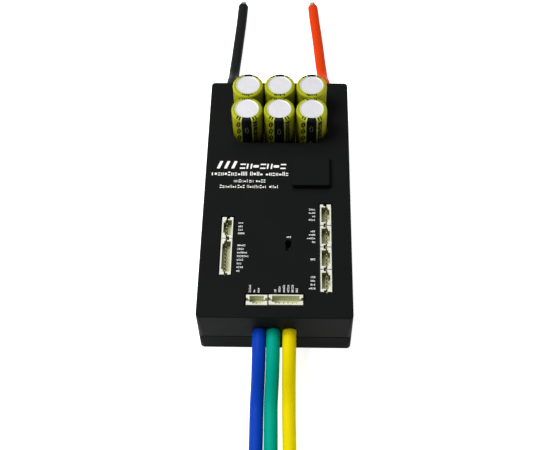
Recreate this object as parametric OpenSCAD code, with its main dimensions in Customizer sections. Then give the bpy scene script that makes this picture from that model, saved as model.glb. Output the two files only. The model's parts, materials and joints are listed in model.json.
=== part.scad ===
// Electronic speed controller for a three-phase motor: a flat black case, six capacitors that
// stand out of its cover, eight pin headers, three phase leads and two battery leads.
// Frame: origin under the middle of the case, +X right, +Y towards the battery leads, +Z up.

/* [Case] */
// Width of the case
case_w = 72; // [72:1:76]
// Length of the case
case_l = 140; // [140:1:142]
// Height of the case, up to the cover's roof
case_h = 31; // [31:0.5:32]
// Height of the base plate, up to the seam
base_h = 12; // [11.5:0.5:12]
// Radius of the case's upright corners
corner_r = 2; // [1.5:0.5:3]
// Thickness of the base plate's floor
floor_t = 5; // [5:0.5:5]
// Thickness of the base plate's walls
base_wall = 3; // [2.5:0.5:3]
// Thickness of the cover's walls and roof
cover_t = 2.5; // [2:0.5:2.5]
// Radius that breaks the cover's top edge
edge_r = 0.6; // [0.4:0.1:0.8]

/* [Bump over the inductor] */
// Width of the bump
bump_w = 18.4; // [17.4:0.2:18.6]
// Length of the bump
bump_l = 17.8; // [17.4:0.2:18.4]
// Height of the bump above the cover's roof
bump_h = 3.1; // [3:0.1:4]
// Thickness of the bump's walls and roof
bump_t = 1.2; // [1:0.1:1.2]

/* [Capacitors] */
// Outer diameter of a capacitor in its sleeve
cap_d = 15.5; // [15:0.1:15.5]
// Height of a capacitor
cap_h = 34.3; // [30:0.1:36]
// Thickness of the sleeve
sleeve_t = 0.2; // [0.15:0.05:0.3]
// Distance between capacitors across the case
cap_pitch_x = 16.2; // [16.1:0.1:16.5]
// Distance between the two rows of capacitors
cap_pitch_y = 15.6; // [15.6:0.1:16]

/* [Headers] */
// Pin pitch of the headers
pin_pitch = 2; // [2:0.1:2]
// Height of a header, from the control board to the cover's roof
header_h = 6; // [5.5:0.25:6]
// Width of a header
header_w = 5.3; // [5:0.1:5.4]
// Length that a header has beyond its first and last pins, both ends together
header_ends = 5.8; // [5.6:0.1:6]
// Side of a square pin
pin_w = 0.5; // [0.4:0.1:0.6]
// Clearance between a header and its cut-out in the cover
header_gap = 0.7; // [0.3:0.05:0.75]

/* [Leads] */
// Outer diameter of a phase lead
phase_d = 6.4; // [6:0.1:6.4]
// Diameter of a phase lead's conductor
phase_core_d = 4.6; // [4.2:0.1:4.8]
// Outer diameter of a battery lead
battery_d = 5.8; // [5:0.1:5.8]
// Diameter of a battery lead's conductor
battery_core_d = 4; // [3.6:0.1:4.2]
// Height of the lead exits above the ground
exit_z = 17.2; // [17.2:0.1:17.4]
// Distance of each battery lead from the middle of the case, where it leaves the cover
battery_x = 25.8; // [25.8:0.1:26]

/* [Mounting holes in the underside] */
// Distance between the mounting holes across the case
mount_x = 44; // [42:1:46]
// Distance between the mounting holes along the case
mount_y = 80; // [76:1:84]
// Drilled diameter of the M4 mounting holes
mount_d = 3.3; // [3.2:0.1:3.4]
// Depth of the mounting holes
mount_depth = 4; // [3:0.5:4]

/* [Hidden] */
$fn = 48;

// A hair of overlap that keeps cuts clean.
hair = 0.1;

// Levels, from the ground up.
pad_t = 0.5;
power_z = floor_t + pad_t;
power_t = 2;
power_top = power_z + power_t;
seat_z = 13.5;
seat_t = 2;
cap_top = seat_z + cap_h;
control_top = case_h - header_h;
control_t = 1.6;
control_z = control_top - control_t;

// The seam between base plate and cover shows as a fine groove.
seam_h = 0.5;
seam_in = 0.4;

// Board outlines: [width, length, middle y].
power_size = [57, 132, 0];
seat_size = [57, 37, 48];
control_size = [57, 92, -20];

// Capacitors: middle of the six, and the round-cornered opening around them.
cap_mid = [0.6, 46];
cap_spots = [for (row = [-1, 1], col = [-1:1])
    [cap_mid[0] + col * cap_pitch_x, cap_mid[1] + row * cap_pitch_y / 2]];
cap_gap = 0.7;
can_r = cap_d / 2 - sleeve_t;
shoulder_r = 1;
seal_h = 2.2;
seal_r = 6.4;
can_t = 0.4;
can_dish = 0.25;
winding_z = seat_z + sleeve_t + seal_h + 1;
top_curl_r = 6.2;
foot_curl_r = 6.6;
groove_z = 4;
groove_r = 0.6;
wire_r = 0.4;
wire_spread = 7.5;

// Headers: [pins, middle x, middle y, turn], in the order of their numbers.
header_step = 12.2;
header_list = concat(
    [for (i = [0:3]) [4, 23.7, -13.8 - i * header_step, 0]],
    [[4, -23.5, -21.6, 180], [8, -23.5, -37.7, 180]],
    [[3, -8.3, -60.8, -90], [6, 5.1, -60.6, -90]]);
pin_shift = 0.4;
pin_h = 4.5;
header_floor = 1.5;

// Bump and inductor share one middle.
bump_mid = [16.6, 10.4];

// Board-to-board header.
stack_y = -46;
stack_pitch = 2.54;
stack_spots = [for (i = [0:9], row = [-1, 1])
    [(i - 4.5) * stack_pitch, stack_y + row * stack_pitch / 2]];

// Status lights under the keyhole slot.
light_big = [5.9, -30];
light_small = [5.9, -33.4];
light_big_r = 1.6;
light_small_r = 1.4;
light_neck_w = 1.8 * light_small_r;
light_big_size = [2, 1.25, 0.8];
light_small_size = [1.6, 0.8, 0.8];

// Screws: M3, with tapped holes, clearance holes and sinks for the heads.
screw_r = 1.45;
hole_r = 1.5;
clear_r = 1.6;
sink_r = 3;
blind_z = 1;
cap_head_h = 3;
socket_r = 1.45;
socket_h = 1.6;
pan_head_h = 2;
pan_screw_l = 6;
cover_screw_l = 16;
cross_size = [2.6, 0.6, 1];
cross_z = 1.1;
cover_screw_spots = [for (x = [-32, 32], y = [-58, 0, 54]) [x, y]];
standoff_spots = [for (x = [-25, 25], y = [-61.8, -3.5, 22.5]) [x, y]];
rear_screw_spots = [for (x = [-25, 25]) [x, 50]];
boss_w = 7;
boss_in = 29;
boss_bore_l = 9;
wall_bite = 1;
standoff_d = 5.7;
standoff_bore_l = 7;
inner_r = 1;
bump_r = 0.8;
bump_edge_r = 0.4;
screw_sink = 3.4;
screw_head_r = 2.75;
thread_down = 1.5;

// Parts on the power board: [width, length, height].
transistor_size = [9.9, 10.4, 2.3];
transistor_tab = [8.4, 0.8, 0.5];
transistor_tab_y = 5.6;
shunt_size = [6.4, 3.2, 0.8];
ceramic_size = [3.2, 2.5, 2.2];
post_size = [4, 6, seat_z - seat_t - power_top];
pad_hole_r = 2;

// Parts on the control board and between the boards: [width, length, height].
chip_size = [10, 10, 1.4];
chip_pin = [11.8, 0.3, 0.3];
chip_pin_pitch = 0.75;
driver_size = [6, 6, 1];
inductor_size = [13.6, 13.8, 7.2];
inductor_tabs = [14.6, 4, 0.6];
regulator_size = [6.5, 3.5, 1.6];
regulator_pins = [3, 7, 0.4];
crystal_size = [5, 3.2, 1.1];
stack_pin_w = 0.64;
stack_body_h = 2.5;

// Leads and their openings.
phase_x = [-7.2, -0.7, 6.8];
phase_hole_d = 7.2;
battery_hole_d = battery_d + 0.8;
phase_inner_y = -66;
terminal = [6, 9];
terminal_top = 15.7;
battery_inner_y = 66;
bar_top = 15.6;
bar_foot = [5, 6.4];
bar_rail = [2.6, 32];
bar_rail_mid = [26.6, 46];
phase_inner_l = 9;
battery_inner_l = 6;
phase_end_l = 6;
battery_end_l = 3;

// Routes of the leads, from inside the case to the far end.
phase_a_route = [
    [-7.2, -66, 17.2], [-7.2, -70, 17.2], [-7.2, -74, 17.1], [-7.2, -78, 16.5], [-7.2, -82, 15.2],
    [-7.3, -86, 13.1], [-7.4, -90, 10.3], [-7.6, -94, 7.4], [-7.8, -98, 5.3], [-7.9, -102, 4],
    [-7.9, -108, 3.4], [-7.8, -118, 3.3], [-7.9, -134, 3.3], [-8.3, -150, 3.3], [-8.9, -166, 3.3]];
phase_b_route = [
    [-0.7, -66, 17.2], [-0.7, -70, 17.2], [-0.7, -74, 17.1], [-0.7, -78, 16.5], [-0.7, -82, 15.2],
    [-0.8, -86, 13.1], [-0.9, -90, 10.3], [-1.1, -94, 7.4], [-1.3, -98, 5.3], [-1.4, -102, 4],
    [-1.3, -108, 3.4], [-1.1, -118, 3.3], [-0.9, -134, 3.3], [-0.6, -150, 3.3], [-0.5, -167, 3.3]];
phase_c_route = [
    [6.8, -66, 17.2], [6.8, -70, 17.2], [6.8, -74, 17.1], [6.8, -78, 16.5], [6.8, -82, 15.2],
    [6.8, -86, 13.1], [6.8, -90, 10.3], [6.8, -94, 7.4], [6.9, -98, 5.3], [6.9, -102, 4],
    [7, -108, 3.4], [7.3, -118, 3.3], [7.7, -134, 3.3], [8.4, -150, 3.3], [9.2, -166, 3.3]];
battery_minus_route = [
    [-25.8, 66, 17.2], [-25.9, 70, 17.2], [-26.1, 74, 17.1], [-26.3, 78, 16.5], [-26.5, 82, 15],
    [-26.7, 86, 12.6], [-26.8, 90, 9.3], [-26.8, 94, 6.3], [-26.7, 98, 4.4], [-26.6, 102, 3.5],
    [-26.3, 107, 3.1], [-25.6, 117, 3], [-24.9, 128, 3], [-24.1, 141, 3], [-23.5, 154.6, 3]];
battery_plus_route = [
    [25.8, 66, 17.2], [25.6, 70, 17.2], [25.3, 74, 17.1], [25, 78, 16.5], [24.7, 82, 15],
    [24.4, 86, 12.6], [24.1, 90, 9.3], [23.9, 94, 6.3], [23.6, 98, 4.4], [23.3, 102, 3.5],
    [22.8, 107, 3.1], [21.9, 117, 3], [20.9, 128, 3], [19.5, 141, 3], [18.3, 154, 3]];

// ---------- shapes that several parts share ----------

// A rectangle with true round corners.
module round_rect(w, l, r) {
    square([w - 2 * r, l], center = true);
    square([w, l - 2 * r], center = true);
    for (x = [-1, 1], y = [-1, 1])
        translate([x * (w / 2 - r), y * (l / 2 - r)])
            circle(r);
}

// Half of an upright section whose top corner is broken by the radius e.
function half_section(half, h, e) = concat(
    [[half, 0]],
    [for (a = [0:30:90]) [half - e + e * cos(a), h - e + e * sin(a)]],
    [[0, h], [0, 0]]);

// A block with round upright corners and a broken top edge.
module soft_block(w, l, h, r, e) {
    for (x = [-1, 1], y = [-1, 1])
        translate([x * (w / 2 - r), y * (l / 2 - r), 0])
            rotate_extrude()
                polygon(half_section(r, h, e));
    for (side = [0, 180]) {
        rotate([90, 0, side])
            linear_extrude(l - 2 * r, center = true)
                polygon(half_section(w / 2, h, e));
        rotate([90, 0, side + 90])
            linear_extrude(w - 2 * r, center = true)
                polygon(half_section(l / 2, h, e));
    }
}

// A flat box that sits on z = 0, centred in x and y.
module slab(w, l, h) {
    translate([-w / 2, -l / 2, 0])
        cube([w, l, h]);
}

// A flat box given as [width, length, height].
module block(size) {
    slab(size[0], size[1], size[2]);
}

// An upright bore or pin from z0 to z1.
module upright(r, z0, z1) {
    translate([0, 0, z0])
        cylinder(r = r, h = z1 - z0);
}

// Puts a copy of the children at each spot.
module at(spots) {
    for (s = spots)
        translate([s[0], s[1], 0])
            children();
}

// A cap screw that points up: its head starts at z = 0.
module cap_screw(shank) {
    difference() {
        cylinder(r = screw_head_r, h = cap_head_h);
        upright(socket_r, -hair, socket_h);
    }
    upright(screw_r, cap_head_h, cap_head_h + shank);
}

// A pan head screw that points down from z = 0, with a cross recess.
module pan_screw(shank) {
    difference() {
        upright(screw_head_r, 0, pan_head_h);
        for (turn = [0, 90])
            rotate([0, 0, turn])
                translate([0, 0, cross_z])
                    block(cross_size);
    }
    upright(screw_r - 0.05, -shank, 0);
}

// ---------- lists and vectors ----------

function backwards(list) = [for (i = [len(list) - 1:-1:0]) list[i]];
function unit(v) = v / norm(v);
function route_way(p, i) = unit(p[min(i + 1, len(p) - 1)] - p[max(i - 1, 0)]);
function route_side(p, i) = unit(cross(route_way(p, i), [0, 0, 1]));
function route_up(p, i) = cross(route_side(p, i), route_way(p, i));
function ring(p, i, r, sides) = [for (k = [0:sides - 1])
    let (a = 360 * (k + 0.5) / sides)
    p[i] + r * (cos(a) * route_side(p, i) + sin(a) * route_up(p, i))];

// A tube of the given diameter along the route p.
module lead_tube(p, d) {
    sides = 10;
    rings = len(p);
    points = [for (i = [0:rings - 1]) each ring(p, i, d / 2, sides)];
    walls = [for (i = [0:rings - 2], k = [0:sides - 1])
        let (a = i * sides + k, b = i * sides + (k + 1) % sides)
        [a, b, b + sides, a + sides]];
    caps = [[for (k = [sides - 1:-1:0]) k], [for (k = [0:sides - 1]) (rings - 1) * sides + k]];
    polyhedron(points, concat(walls, caps));
}

// The bare end of a lead, long by the given length: it carries on from the last point of the route p.
module lead_end(p, d, long) {
    last = len(p) - 1;
    way = p[last] - p[last - 1];
    translate(p[last])
        rotate([0, 0, atan2(way[1], way[0])])
            rotate([0, 90, 0])
                cylinder(d = d, h = long);
}

// ---------- case ----------

module base_plate() {
    inner_w = case_w - 2 * base_wall;
    color("#1b1d1d")
        difference() {
            union() {
                linear_extrude(base_h - seam_h)
                    round_rect(case_w, case_l, corner_r);
                linear_extrude(base_h)
                    round_rect(case_w - 2 * seam_in, case_l - 2 * seam_in, corner_r - seam_in);
            }
            difference() {
                translate([0, 0, floor_t])
                    linear_extrude(base_h)
                        round_rect(inner_w, case_l - 2 * base_wall, inner_r);
                // Bosses for the cover screws stay standing.
                for (s = cover_screw_spots)
                    translate([sign(s[0]) * (boss_in + case_w / 4), s[1], 0])
                        slab(case_w / 2, boss_w, base_h + hair);
            }
            at(cover_screw_spots) {
                upright(clear_r, 0, case_h);
                upright(sink_r, -hair, screw_sink);
            }
            at(concat(standoff_spots, rear_screw_spots))
                upright(hole_r, blind_z, floor_t + hair);
            for (x = [-1, 1], y = [-1, 1])
                translate([x * mount_x / 2, y * mount_y / 2, 0])
                    upright(mount_d / 2, -hair, mount_depth);
        }
}

module cover_cuts() {
    // Opening around the capacitors.
    translate([cap_mid[0], cap_mid[1], case_h - 2 * cover_t])
        linear_extrude(3 * cover_t)
            round_rect(2 * cap_pitch_x + cap_d + 2 * cap_gap, cap_pitch_y + cap_d + 2 * cap_gap,
                cap_d / 2 + cap_gap);
    // Cut-outs for the three groups of headers.
    header_slot(0, 3);
    header_slot(4, 5);
    header_slot(6, 7);
    // Keyhole slot over the status lights.
    at([light_big])
        upright(light_big_r, case_h - 2 * cover_t, case_h + 1);
    at([light_small])
        upright(light_small_r, case_h - 2 * cover_t, case_h + 1);
    translate([light_small[0], (light_big[1] + light_small[1]) / 2, case_h - 2 * cover_t])
        slab(light_neck_w, light_big[1] - light_small[1], 3 * cover_t);
    // Scalloped opening for the phase leads and two round ones for the battery leads.
    for (x = phase_x)
        translate([x, -case_l / 2 - 1, exit_z])
            rotate([-90, 0, 0])
                cylinder(d = phase_hole_d, h = cover_t + 2);
    for (x = [-battery_x, battery_x])
        translate([x, case_l / 2 + 1, exit_z])
            rotate([90, 0, 0])
                cylinder(d = battery_hole_d, h = cover_t + 2);
}

// One cut-out around the headers numbered a to b, which stand in a line.
module header_slot(a, b) {
    corners = [for (i = [a, b]) each header_corners(header_list[i])];
    low = [min([for (c = corners) c[0]]), min([for (c = corners) c[1]])];
    high = [max([for (c = corners) c[0]]), max([for (c = corners) c[1]])];
    translate([low[0] - header_gap, low[1] - header_gap, case_h - 2 * cover_t])
        cube([high[0] - low[0] + 2 * header_gap, high[1] - low[1] + 2 * header_gap, 3 * cover_t]);
}

function header_len(n) = (n - 1) * pin_pitch + header_ends;
function header_turned(h) = abs(h[3]) == 90;
function header_half(h) = header_turned(h)
    ? [header_len(h[0]) / 2, header_w / 2]
    : [header_w / 2, header_len(h[0]) / 2];
function header_corners(h) = [for (s = [-1, 1]) [h[1], h[2]] + s * header_half(h)];

module top_cover() {
    boss_out = case_w / 2 - wall_bite;
    color("#202222")
        difference() {
            union() {
                difference() {
                    union() {
                        translate([0, 0, base_h])
                            soft_block(case_w, case_l, case_h - base_h, corner_r, edge_r);
                        translate([bump_mid[0], bump_mid[1], case_h - 1])
                            soft_block(bump_w, bump_l, bump_h + 1, bump_r, bump_edge_r);
                    }
                    translate([0, 0, base_h - hair])
                        linear_extrude(case_h - cover_t - base_h + hair)
                            round_rect(case_w - 2 * cover_t, case_l - 2 * cover_t, inner_r);
                    translate([bump_mid[0], bump_mid[1], case_h - 2 * cover_t])
                        slab(bump_w - 2 * bump_t, bump_l - 2 * bump_t, 2 * cover_t + bump_h - bump_t);
                }
                // Bosses for the cover screws, against the side walls.
                for (s = cover_screw_spots)
                    translate([sign(s[0]) * (boss_in + boss_out) / 2, s[1], base_h])
                        slab(boss_out - boss_in, boss_w, case_h - base_h - wall_bite);
            }
            at(cover_screw_spots)
                upright(hole_r, base_h - hair, base_h + boss_bore_l);
            cover_cuts();
        }
}

// ---------- power stage ----------

module thermal_pad() {
    color("#8f9aa3")
        difference() {
            translate([0, 0, floor_t])
                slab(power_size[0] - 1, power_size[1] - 1, pad_t);
            at(concat(standoff_spots, rear_screw_spots))
                upright(pad_hole_r, 0, case_h);
        }
}

module power_board() {
    color("#e8e8e4")
        difference() {
            translate([0, power_size[2], power_z])
                slab(power_size[0], power_size[1], power_t);
            at(concat(standoff_spots, rear_screw_spots))
                upright(clear_r, 0, case_h);
        }
}

module power_transistors() {
    color("#2a2a2c")
        for (x = [-23, -11.5, 11.5, 23], y = [-30, -16, 8])
            translate([x, y, power_top]) {
                block(transistor_size);
                translate([0, transistor_tab_y, 0])
                    block(transistor_tab);
            }
}

module current_shunts() {
    color("#6f6a60")
        for (x = [-18, 0, 18])
            translate([x, -38.6, power_top])
                block(shunt_size);
}

module ceramic_capacitors() {
    color("#b08d62")
        for (i = [0:8])
            translate([-16 + 4 * i, 20, power_top])
                block(ceramic_size);
}

module phase_terminals() {
    color("#c98a5a")
        for (x = phase_x)
            difference() {
                translate([x, phase_inner_y + 2 + terminal[1] / 2, power_top])
                    slab(terminal[0], terminal[1], terminal_top - power_top);
                translate([x, phase_inner_y, exit_z])
                    rotate([-90, 0, 0])
                        cylinder(d = phase_core_d, h = 20);
            }
}

module bus_posts() {
    color("#c98a5a")
        for (x = [-26, 26], y = [35, 61])
            translate([x, y, power_top])
                block(post_size);
}

// ---------- capacitor bank ----------

module capacitor_board() {
    color("#16341f")
        difference() {
            translate([0, seat_size[2], seat_z - seat_t])
                slab(seat_size[0], seat_size[1], seat_t);
            for (s = cap_spots, side = [-1, 1])
                translate([s[0], s[1] + side * wire_spread / 2, 0])
                    upright(wire_r + hair, 0, case_h);
        }
}

// side is -1 for the negative bar and 1 for the positive one.
module battery_bar(side) {
    color("#c98a5a")
        difference() {
            union() {
                translate([side * battery_x, battery_inner_y - bar_foot[1] / 2, seat_z])
                    slab(bar_foot[0], bar_foot[1], bar_top - seat_z);
                translate([side * bar_rail_mid[0], bar_rail_mid[1], seat_z])
                    slab(bar_rail[0], bar_rail[1], bar_top - seat_z);
            }
            translate([side * battery_x, battery_inner_y + hair, exit_z])
                rotate([90, 0, 0])
                    cylinder(d = battery_core_d, h = 10);
        }
}

// A can stands on the sleeve's lower curl, with the seal in its mouth.
module capacitor_can(i) {
    h = cap_h - 2 * sleeve_t;
    color("#d9dadb")
        translate([cap_spots[i][0], cap_spots[i][1], seat_z + sleeve_t])
            difference() {
                rotate_extrude()
                    polygon(concat([[0, 0]], can_outline(h)));
                upright(seal_r, -hair, seal_h);
                upright(can_r - groove_r - can_t, seal_h - hair, h - can_dish - can_t);
            }
}

// Outline of the can: a roll groove near the foot, a rounded shoulder and a slightly sunk top.
function can_outline(h) = [
    [can_r, 0], [can_r, groove_z - groove_r], [can_r - groove_r, groove_z],
    [can_r, groove_z + groove_r], [can_r, h - shoulder_r],
    for (a = [15:15:90]) [can_r - shoulder_r + shoulder_r * cos(a), h - shoulder_r + shoulder_r * sin(a)],
    [can_r - 1.7, h], [can_r - 2, h - can_dish], [0, h - can_dish]];

// The sleeve is shrunk round the can and curls over both of its ends.
module capacitor_sleeve(i) {
    r = cap_d / 2;
    color("#aebb23")
        translate([cap_spots[i][0], cap_spots[i][1], seat_z])
            rotate_extrude()
                polygon(concat(
                    [[foot_curl_r, 0], [r, 0]],
                    sleeve_side(r, cap_h),
                    [[top_curl_r, cap_h], [top_curl_r, cap_h - sleeve_t]],
                    backwards(sleeve_side(can_r, cap_h - sleeve_t)),
                    [[can_r, sleeve_t], [foot_curl_r, sleeve_t]]));
}

// Outline of one face of the sleeve, from its groove up over its shoulder.
function sleeve_side(r, top) = [
    [r, sleeve_t + groove_z - groove_r], [r - groove_r, sleeve_t + groove_z],
    [r, sleeve_t + groove_z + groove_r],
    for (a = [0:15:90]) let (e = shoulder_r + r - can_r) [r - e + e * cos(a), top - e + e * sin(a)]];

module capacitor_seals() {
    color("#202020")
        at(cap_spots)
            difference() {
                upright(seal_r, seat_z, winding_z - 1);
                for (side = [-1, 1])
                    translate([0, side * wire_spread / 2, 0])
                        upright(wire_r, 0, case_h);
            }
}

module capacitor_windings() {
    color("#c9b48a")
        at(cap_spots)
            upright(6, winding_z, cap_top - 3);
}

module capacitor_wires() {
    color("#c8c8cc")
        at(cap_spots)
            for (side = [-1, 1])
                translate([0, side * wire_spread / 2, 0])
                    upright(wire_r, 9.5, winding_z);
}

// ---------- control stage ----------

module control_board() {
    color("#12351f")
        difference() {
            translate([0, control_size[2], control_z])
                slab(control_size[0], control_size[1], control_t);
            at(standoff_spots)
                upright(clear_r, 0, case_h);
        }
}

module board_standoffs() {
    color("#c9ad62")
        at(standoff_spots) {
            difference() {
                translate([0, 0, power_top])
                    cylinder(d = standoff_d, h = control_z - power_top, $fn = 6);
                upright(hole_r, control_z - standoff_bore_l, control_z + hair);
            }
            upright(screw_r, thread_down, power_top);
        }
}

module board_screws() {
    color("#b9bcc0") {
        at(standoff_spots)
            translate([0, 0, control_top])
                pan_screw(pan_screw_l);
        at(rear_screw_spots)
            translate([0, 0, power_top])
                pan_screw(pan_screw_l);
    }
}

module cover_screws() {
    color("#2c2d30")
        at(cover_screw_spots)
            translate([0, 0, screw_sink - cap_head_h])
                cap_screw(cover_screw_l);
}

module stack_header() {
    color("#1a1a1c")
        difference() {
            translate([0, stack_y, power_top])
                slab(10 * stack_pitch, 2 * stack_pitch, stack_body_h);
            at(stack_spots)
                translate([0, 0, power_top - 1])
                    slab(stack_pin_w, stack_pin_w, 2 * stack_body_h);
        }
}

module stack_header_pins() {
    color("#d8b45a")
        at(stack_spots)
            translate([0, 0, power_top])
                slab(stack_pin_w, stack_pin_w, control_z - power_top);
}

module microcontroller() {
    color("#1d1d20")
        translate([-5, -10, control_top]) {
            block(chip_size);
            for (turn = [0, 90], i = [-6:6])
                rotate([0, 0, turn])
                    translate([0, i * chip_pin_pitch, 0])
                        block(chip_pin);
        }
}

module gate_drivers() {
    color("#1d1d20")
        for (x = [-11, 0, 11])
            translate([x, -48, control_top])
                block(driver_size);
}

module buck_inductor() {
    color("#3b3c40")
        translate([bump_mid[0], bump_mid[1], control_top]) {
            block(inductor_size);
            block(inductor_tabs);
        }
}

module voltage_regulator() {
    color("#1d1d20")
        translate([-3, 12, control_top]) {
            block(regulator_size);
            block(regulator_pins);
        }
}

module crystal() {
    color("#c4c6c8")
        translate([-15, -6, control_top])
            block(crystal_size);
}

module status_lights() {
    color("#e9e6da") {
        at([light_big])
            translate([0, 0, control_top])
                block(light_big_size);
        at([light_small])
            translate([0, 0, control_top])
                block(light_small_size);
    }
}

// Shell of a header with n pins, along Y, with its thick wall towards +X.
module header_shell(n) {
    long = header_len(n);
    thin = 0.6;
    thick = 1.5;
    window_t = 0.7;
    end_t = 1.6;
    slot_z = header_floor + 0.3;
    slot_l = 1.8;
    slot_w = 1.6;
    slot_x = -0.25;
    neck_w = 0.7;
    difference() {
        slab(header_w, long, header_h);
        // Cavity, with the thick wall thinned between its two ends.
        translate([(thin - thick) / 2, 0, header_floor])
            slab(header_w - thin - thick, long - 2 * end_t, header_h);
        translate([(thin - window_t) / 2, 0, header_floor])
            slab(header_w - thin - window_t, long - header_ends, header_h);
        // Stepped slot through each end wall.
        for (side = [-1, 1]) {
            translate([slot_x, side * long / 2, slot_z])
                slab(slot_w, slot_l, header_h);
            translate([-slot_x, side * (long / 2 - end_t), slot_z])
                slab(neck_w, slot_l, header_h);
        }
        // Holes for the pins.
        for (i = [0:n - 1])
            translate([pin_shift, (i - (n - 1) / 2) * pin_pitch, -hair])
                slab(pin_w, pin_w, header_h);
    }
}

module pin_header(i) {
    h = header_list[i];
    color("#e9e6d2")
        translate([h[1], h[2], control_top])
            rotate([0, 0, h[3]])
                header_shell(h[0]);
}

module header_pins() {
    color("#d9d2b0")
        for (h = header_list)
            translate([h[1], h[2], control_top])
                rotate([0, 0, h[3]])
                    for (i = [0:h[0] - 1])
                        translate([pin_shift, (i - (h[0] - 1) / 2) * pin_pitch, 0])
                            slab(pin_w, pin_w, pin_h);
}

// ---------- leads ----------

module phase_a_lead() { color("#1440b8") lead_tube(phase_a_route, phase_d); }
module phase_b_lead() { color("#00a090") lead_tube(phase_b_route, phase_d); }
module phase_c_lead() { color("#e2c800") lead_tube(phase_c_route, phase_d); }
module battery_minus_lead() { color("#2a2c2b") lead_tube(battery_minus_route, battery_d); }
module battery_plus_lead() { color("#e8431c") lead_tube(battery_plus_route, battery_d); }
module phase_a_end() { color("#c6c4bd") lead_end(phase_a_route, phase_core_d, phase_end_l); }
module phase_b_end() { color("#c6c4bd") lead_end(phase_b_route, phase_core_d, phase_end_l); }
module phase_c_end() { color("#c6c4bd") lead_end(phase_c_route, phase_core_d, phase_end_l); }
module battery_minus_end() { color("#c6c4bd") lead_end(battery_minus_route, battery_core_d, battery_end_l); }
module battery_plus_end() { color("#c6c4bd") lead_end(battery_plus_route, battery_core_d, battery_end_l); }

// The bared inner ends, which are soldered to the terminals and bars.
module inner_conductors() {
    color("#c6c4bd") {
        for (x = phase_x)
            translate([x, phase_inner_y, exit_z])
                rotate([-90, 0, 0])
                    cylinder(d = phase_core_d, h = phase_inner_l);
        for (x = [-battery_x, battery_x])
            translate([x, battery_inner_y, exit_z])
                rotate([90, 0, 0])
                    cylinder(d = battery_core_d, h = battery_inner_l);
    }
}

// ---------- nodes ----------

base_plate();
top_cover();
thermal_pad();
power_board();
power_transistors();
current_shunts();
ceramic_capacitors();
phase_terminals();
bus_posts();
capacitor_board();
battery_bar(-1);  // battery_bar_negative
battery_bar(1);  // battery_bar_positive
for (i = [0:5]) {
    capacitor_can(i);
    capacitor_sleeve(i);
}
capacitor_seals();
capacitor_windings();
capacitor_wires();
control_board();
board_standoffs();
board_screws();
cover_screws();
stack_header();
stack_header_pins();
microcontroller();
gate_drivers();
buck_inductor();
voltage_regulator();
crystal();
status_lights();
for (i = [0:7])
    pin_header(i);
header_pins();
phase_a_lead();
phase_b_lead();
phase_c_lead();
battery_minus_lead();
battery_plus_lead();
phase_a_end();
phase_b_end();
phase_c_end();
battery_minus_end();
battery_plus_end();
inner_conductors();
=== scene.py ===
"""Looks of the electronic speed controller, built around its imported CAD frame. Lengths are in metres."""

import math
import random

import bmesh
import bpy
from mathutils import Matrix, Vector, noise
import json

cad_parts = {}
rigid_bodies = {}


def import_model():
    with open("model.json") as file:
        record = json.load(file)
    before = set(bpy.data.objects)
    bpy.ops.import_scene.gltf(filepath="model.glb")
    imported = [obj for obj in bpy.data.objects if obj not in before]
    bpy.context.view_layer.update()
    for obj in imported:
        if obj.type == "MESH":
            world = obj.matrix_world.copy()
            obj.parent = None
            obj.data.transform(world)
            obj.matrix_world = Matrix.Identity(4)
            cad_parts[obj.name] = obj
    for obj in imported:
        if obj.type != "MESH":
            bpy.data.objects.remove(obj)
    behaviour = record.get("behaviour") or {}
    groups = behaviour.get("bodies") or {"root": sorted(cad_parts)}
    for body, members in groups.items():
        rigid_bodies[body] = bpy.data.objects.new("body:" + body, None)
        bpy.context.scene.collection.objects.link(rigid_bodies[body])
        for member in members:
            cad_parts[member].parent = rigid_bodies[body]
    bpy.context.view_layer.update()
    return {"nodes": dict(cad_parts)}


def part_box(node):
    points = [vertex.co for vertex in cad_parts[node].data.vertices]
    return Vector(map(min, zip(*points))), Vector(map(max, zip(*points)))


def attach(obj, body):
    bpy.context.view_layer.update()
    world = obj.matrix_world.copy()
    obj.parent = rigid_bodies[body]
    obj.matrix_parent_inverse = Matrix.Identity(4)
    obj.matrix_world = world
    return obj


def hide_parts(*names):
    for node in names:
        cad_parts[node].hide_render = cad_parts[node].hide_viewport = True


for stray in list(bpy.data.objects):
    bpy.data.objects.remove(stray)
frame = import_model()
MM = 0.001

# ---------- camera ----------

CAMERA_PLACE = Vector((0.0100, -0.2702, 0.4209))
CAMERA_DOWN = math.radians(57.286)
CAMERA_HEADING = math.radians(-2.438)
CAMERA_ROLL = math.radians(-1.579)
CAMERA_SENSOR = 36
CAMERA_LENS = 63.02


def make_camera():
    """A camera above and in front of the phase leads, looking down at the cover."""
    data = bpy.data.cameras.new("camera")
    data.sensor_width = CAMERA_SENSOR
    data.lens = CAMERA_LENS
    cam = bpy.data.objects.new("camera", data)
    bpy.context.scene.collection.objects.link(cam)
    level = math.cos(CAMERA_DOWN)
    ahead = Vector(
        (math.sin(CAMERA_HEADING) * level, math.cos(CAMERA_HEADING) * level, -math.sin(CAMERA_DOWN))
    )
    side = Vector((math.cos(CAMERA_HEADING), -math.sin(CAMERA_HEADING), 0))
    up = side.cross(ahead)
    right = math.cos(CAMERA_ROLL) * side + math.sin(CAMERA_ROLL) * up
    top = -math.sin(CAMERA_ROLL) * side + math.cos(CAMERA_ROLL) * up
    turn = Matrix((right, top, -ahead)).transposed()
    cam.matrix_world = Matrix.Translation(CAMERA_PLACE) @ turn.to_4x4()
    bpy.context.scene.camera = cam


make_camera()

# ---------- materials ----------


def new_material(name):
    """A material with a bare Principled shader, as (material, nodes, links, shader)."""
    mat = bpy.data.materials.new(name)
    mat.use_nodes = True
    nodes, links = mat.node_tree.nodes, mat.node_tree.links
    return mat, nodes, links, nodes["Principled BSDF"]


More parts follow.
